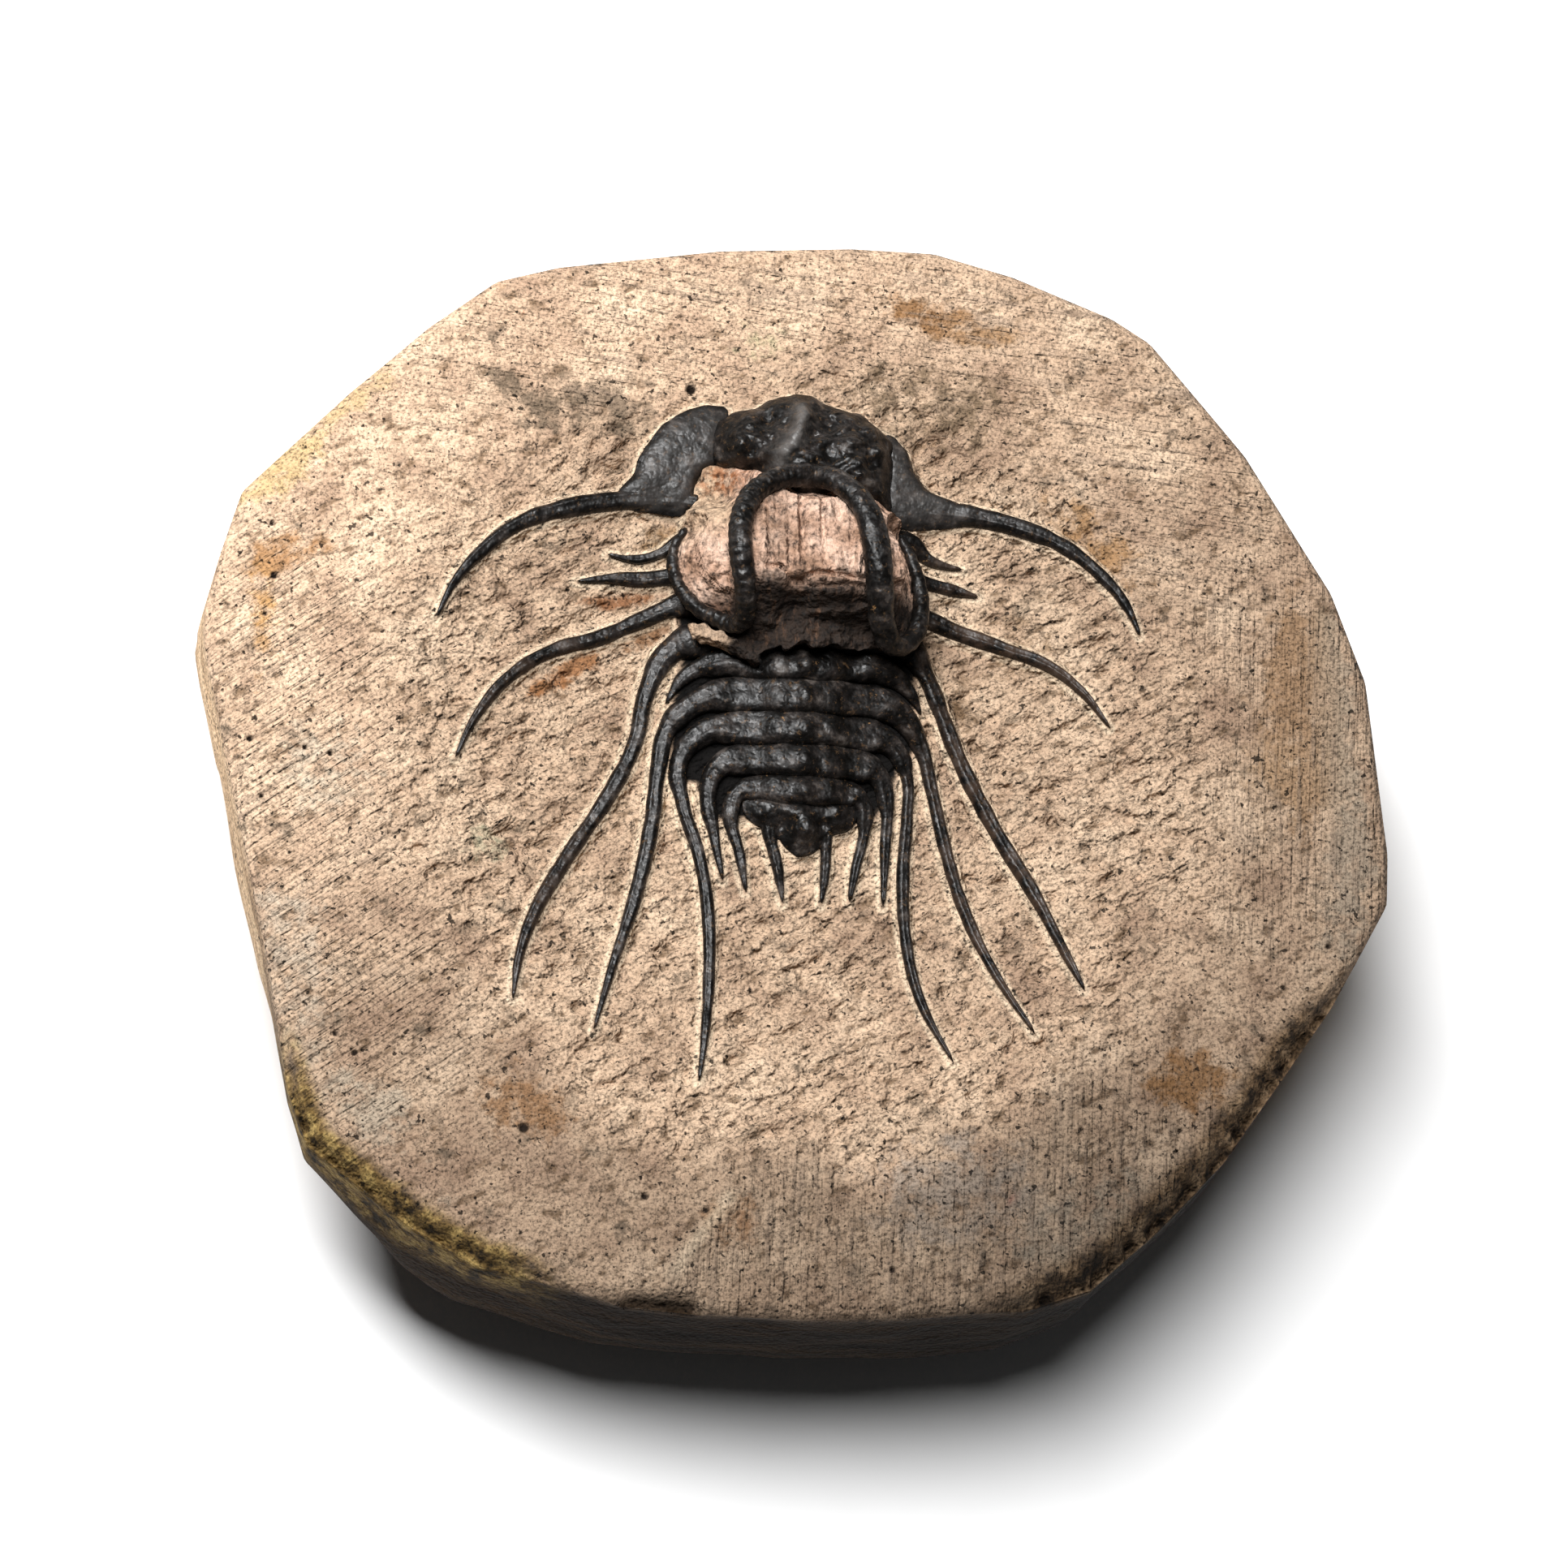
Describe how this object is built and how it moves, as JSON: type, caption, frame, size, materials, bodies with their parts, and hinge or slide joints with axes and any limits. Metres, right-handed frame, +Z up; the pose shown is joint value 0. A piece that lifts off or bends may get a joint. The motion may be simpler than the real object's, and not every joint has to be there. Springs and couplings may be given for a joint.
{
  "type": "dicranurus trilobite fossil",
  "caption": "Spiny trilobite fossil with curled ram's horns, lying face up in a shallow dish carved in a flat round block of limestone.",
  "frame": {"origin": "under the middle of the block, in the plane of the flat spot that it rests on", "axes": "+Z up out of the face that bears the fossil, +Y towards the animal's head, +X to the right seen from above"},
  "size_m": [0.1231, 0.1152, 0.0409],
  "materials": {
    "limestone": "rough, ground at the rim and pecked in the dish",
    "support_stone": "scraped smooth, cracked across",
    "fossil_shell": "satin black calcite"
  },
  "bodies": {
    "root": {"limestone_block": "limestone", "horn_support_stone": "support_stone", "cranidium": "fossil_shell", "left_free_cheek": "fossil_shell", "right_free_cheek": "fossil_shell", "thoracic_segment_1": "fossil_shell", "thoracic_segment_2": "fossil_shell", "thoracic_segment_3": "fossil_shell", "thoracic_segment_4": "fossil_shell", "thoracic_segment_5": "fossil_shell", "thoracic_segment_6": "fossil_shell", "thoracic_segment_7": "fossil_shell", "thoracic_segment_8": "fossil_shell", "thoracic_segment_9": "fossil_shell", "pygidium": "fossil_shell"}
  },
  "joints": []
}
